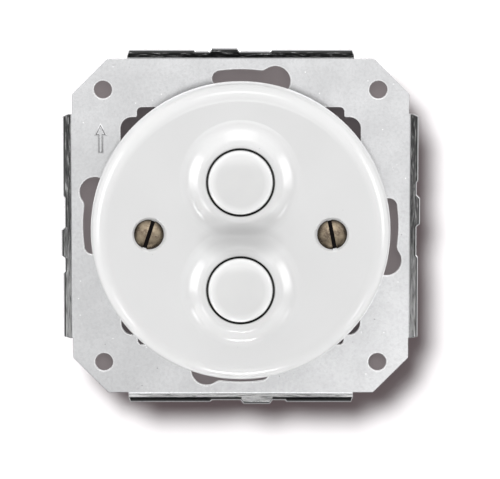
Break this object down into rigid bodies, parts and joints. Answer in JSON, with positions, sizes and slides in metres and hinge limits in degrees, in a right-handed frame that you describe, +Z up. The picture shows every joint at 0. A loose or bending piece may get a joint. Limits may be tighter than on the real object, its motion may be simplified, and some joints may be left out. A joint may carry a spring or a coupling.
{
  "type": "porcelain push-button switch",
  "caption": "Flush wall switch: round white porcelain cover with raised collars round white push buttons, slotted brass screws, square zinc-plated mounting plate, sprung contacts behind.",
  "frame": {"origin": "centre of the mounting plate's back face, on the wall", "axes": "+Z up, +X to the right as seen from the front, +Y into the wall"},
  "size_m": [0.0718, 0.0376, 0.0718],
  "materials": {
    "porcelain": "white glossy glaze",
    "white_button": "white, glossy",
    "zinc_plate": "satin zinc plating",
    "aged_brass": "aged brown patina",
    "dark_moulding": "dark moulded insulation",
    "plunger_nylon": "natural, smooth",
    "brass": "stamped, satin",
    "contact_silver": "satin silver",
    "spring_steel": "drawn wire",
    "plated_screw": "zinc plated"
  },
  "bodies": {
    "switch_body": {"porcelain_cover": "porcelain", "mounting_plate": "zinc_plate", "cover_screws": "aged_brass", "switch_carrier": "dark_moulding", "terminal_base": "dark_moulding", "cover_inserts": "brass", "upper_left_terminal": "brass", "upper_right_terminal": "brass", "lower_left_terminal": "brass", "lower_right_terminal": "brass", "clamp_plates": "brass", "terminal_tips": "contact_silver", "upper_return_spring": "spring_steel", "lower_return_spring": "spring_steel", "terminal_screws": "plated_screw", "base_screws": "plated_screw"},
    "upper_push": {"upper_button": "white_button", "upper_plunger": "plunger_nylon", "upper_bridge": "brass", "upper_bridge_tips": "contact_silver", "upper_retainer": "spring_steel"},
    "lower_push": {"lower_button": "white_button", "lower_plunger": "plunger_nylon", "lower_bridge": "brass", "lower_bridge_tips": "contact_silver", "lower_retainer": "spring_steel"}
  },
  "joints": [
    {"name": "upper_press", "type": "slide", "parent": "switch_body", "child": "upper_push", "axis": [0, 1, 0], "range_m": [0, 0.002], "stiffness_N_per_m": 500, "springref_m": -0.003, "deforming": ["upper_return_spring"]},
    {"name": "lower_press", "type": "slide", "parent": "switch_body", "child": "lower_push", "axis": [0, 1, 0], "range_m": [0, 0.002], "stiffness_N_per_m": 500, "springref_m": -0.003, "deforming": ["lower_return_spring"]}
  ]
}
